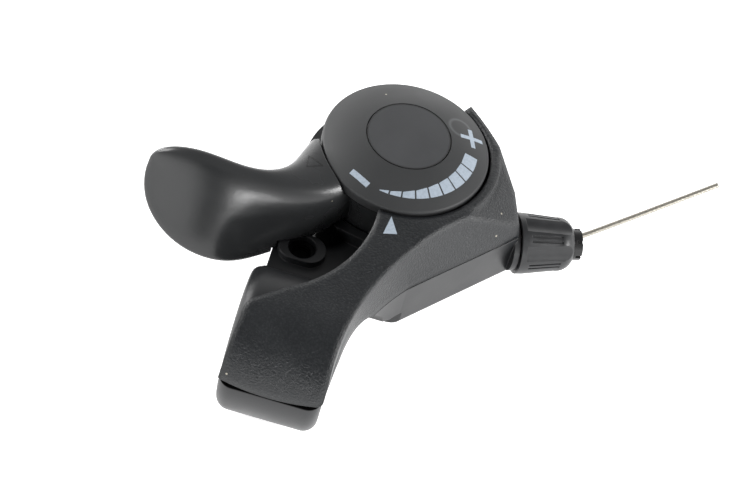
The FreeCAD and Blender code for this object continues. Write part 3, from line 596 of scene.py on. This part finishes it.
def grooved_knob():
    """The knob with its fine grooves cut on to the shoulder."""
    cutters = joined([groove_cutter(2 * math.pi * i / knob_lands, side * groove_off)
                      for i in range(knob_lands) for side in (-1, 1)], "groove_cutters")
    knob = bpy.data.objects.new("knob_grooved", nodes["adjuster_knob"].data.copy())
    bpy.context.collection.objects.link(knob)
    only(knob)
    bpy.ops.mesh.customdata_custom_splitnormals_clear()
    bpy.ops.object.mode_set(mode="EDIT")
    bpy.ops.mesh.select_all(action="SELECT")
    bpy.ops.mesh.remove_doubles(threshold=merge_slack)
    bpy.ops.object.mode_set(mode="OBJECT")
    cut = knob.modifiers.new("grooves", "BOOLEAN")
    cut.operation = "DIFFERENCE"
    cut.solver = "EXACT"
    cut.object = cutters
    bpy.ops.object.modifier_apply(modifier=cut.name)
    bpy.data.objects.remove(cutters)
    bpy.ops.object.shade_smooth_by_angle(angle=knob_crease)
    paint(knob, materials["knob_plastic"])
    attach(knob, "adjuster")
    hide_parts("adjuster_knob")


grooved_knob()


def route_points(route, steps):
    """Points of the smooth spline whose control points are the route's."""
    curve = bpy.data.curves.new("cable_line", "CURVE")
    curve.dimensions = "3D"
    line = curve.splines.new("NURBS")
    line.points.add(len(route) - 1)
    for point, spot in zip(line.points, route):
        point.co = (*(spot * MM), 1.0)
    line.order_u = 3
    line.use_endpoint_u = True
    line.resolution_u = steps
    carrier = bpy.data.objects.new("cable_line", curve)
    bpy.context.collection.objects.link(carrier)
    bpy.context.view_layer.update()
    mesh = bpy.data.meshes.new_from_object(carrier.evaluated_get(bpy.context.evaluated_depsgraph_get()))
    points = [v.co.copy() for v in mesh.vertices]
    bpy.data.objects.remove(carrier)
    bpy.data.meshes.remove(mesh)
    return points


def stranded_cable(points):
    """Tube along the points whose section shows the outer wires, twisted along its length."""
    sides = cable_strands * wire_sides
    outer = cable_d / 2 * MM
    mesh = bmesh.new()
    rings = []
    side = (points[1] - points[0]).cross(Vector((0, 0, 1))).normalized()
    travelled = 0.0
    for i, point in enumerate(points):
        ahead = (points[min(i + 1, len(points) - 1)] - points[max(i - 1, 0)]).normalized()
        side = (side - ahead * side.dot(ahead)).normalized()
        over = ahead.cross(side)
        travelled += (point - points[i - 1]).length if i else 0.0
        lay = 2 * math.pi * travelled / (cable_pitch * MM)
        ring = []
        for k in range(sides):
            turn = 2 * math.pi * k / sides
            wire = abs(math.cos(cable_strands * turn / 2))
            r = outer * (wire_root + (1 - wire_root) * math.sqrt(wire))
            ring.append(mesh.verts.new(point + (side * math.cos(turn + lay) + over * math.sin(turn + lay)) * r))
        rings.append(ring)
    for first, second in zip(rings, rings[1:]):
        for k in range(sides):
            mesh.faces.new((first[k], first[(k + 1) % sides], second[(k + 1) % sides], second[k]))
    mesh.faces.new(list(reversed(rings[0])))
    mesh.faces.new(rings[-1])
    bmesh.ops.recalc_face_normals(mesh, faces=mesh.faces)
    data = bpy.data.meshes.new("cable_strands")
    mesh.to_mesh(data)
    mesh.free()
    piece = bpy.data.objects.new("cable_strands", data)
    bpy.context.collection.objects.link(piece)
    for face in data.polygons:
        face.use_smooth = True
    return piece


cable_points = route_points(cable_route, cable_steps)
cable = stranded_cable(cable_points)
paint(cable, materials["cable_steel"])
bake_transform(cable)
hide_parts("inner_cable")

bpy.ops.object.select_all(action="DESELECT")
bpy.ops.mesh.primitive_plane_add(size=floor_side, location=(0, 0, cad_box[0][2] - floor_gap))
floor = bpy.context.object
floor.name = "floor"
# White studio paper: matt and even
floor_paint, _, floor_shader, _ = new_material("white studio paper")
floor_shader.inputs["Base Color"].default_value = hex_rgb("#f4f4f4")
floor_shader.inputs["Roughness"].default_value = floor_rough
floor_shader.inputs["Emission Color"].default_value = hex_rgb("#ffffff")
floor_shader.inputs["Emission Strength"].default_value = floor_glow
paint(floor, floor_paint)

world = bpy.data.worlds.new("studio")
world.use_nodes = True
sky = world.node_tree
background = sky.nodes["Background"]
look = add(sky, "ShaderNodeSeparateXYZ", {"Vector": add(sky, "ShaderNodeTexCoord").outputs["Generated"]})
tones = add(sky, "ShaderNodeValToRGB", {"Fac": look.outputs["Z"]})
tones.color_ramp.elements[0].color = (sky_low, sky_low, sky_low, 1)
tones.color_ramp.elements[1].color = (sky_top, sky_top, sky_top, 1)
for place, tone in sky_between:
    tones.color_ramp.elements.new(place).color = (tone, tone, tone, 1)
sky.links.new(tones.outputs["Color"], background.inputs["Color"])
aside = add(sky, "ShaderNodeMath", {0: look.outputs["X"], 1: gap_middle}, operation="SUBTRACT")
aside = add(sky, "ShaderNodeMath", {0: aside}, operation="ABSOLUTE")
across = add(sky, "ShaderNodeMapRange", {0: aside, 1: gap_core, 2: gap_edge, 3: 1.0, 4: 0.0})
ahead = add(sky, "ShaderNodeMapRange", {0: look.outputs["Y"], 1: gap_full, 2: gap_gone, 3: 1.0, 4: 0.0})
gap = add(sky, "ShaderNodeMath", {0: across, 1: ahead}, operation="MULTIPLY")
strength = add(sky, "ShaderNodeMapRange", {0: gap, 1: 0.0, 2: 1.0, 3: sky_strength, 4: sky_front * sky_strength})
sky.links.new(strength.outputs["Result"], background.inputs["Strength"])
bpy.context.scene.world = world


def softbox(name, place, size, power):
    """Soft light aimed at the part."""
    lamp = bpy.data.lights.new(name, "AREA")
    lamp.shape = "RECTANGLE"
    lamp.size, lamp.size_y = size
    lamp.energy = power
    holder = bpy.data.objects.new(name, lamp)
    holder.location = place
    holder.rotation_euler = (Vector(part_middle) - Vector(place)).to_track_quat("-Z", "Y").to_euler()
    bpy.context.collection.objects.link(holder)


for row in softboxes:
    softbox(*row)

lens = bpy.data.cameras.new("camera")
lens.lens = camera_lens
lens.sensor_width = camera_sensor
camera = bpy.data.objects.new("camera", lens)
aim = (camera_target - camera_place).to_track_quat("-Z", "Y").to_matrix()
camera.matrix_world = Matrix.Translation(camera_place) @ (aim @ Matrix.Rotation(camera_roll, 3, "Z")).to_4x4()
bpy.context.collection.objects.link(camera)
bpy.context.scene.camera = camera
bpy.context.scene.view_settings.view_transform = "Standard"
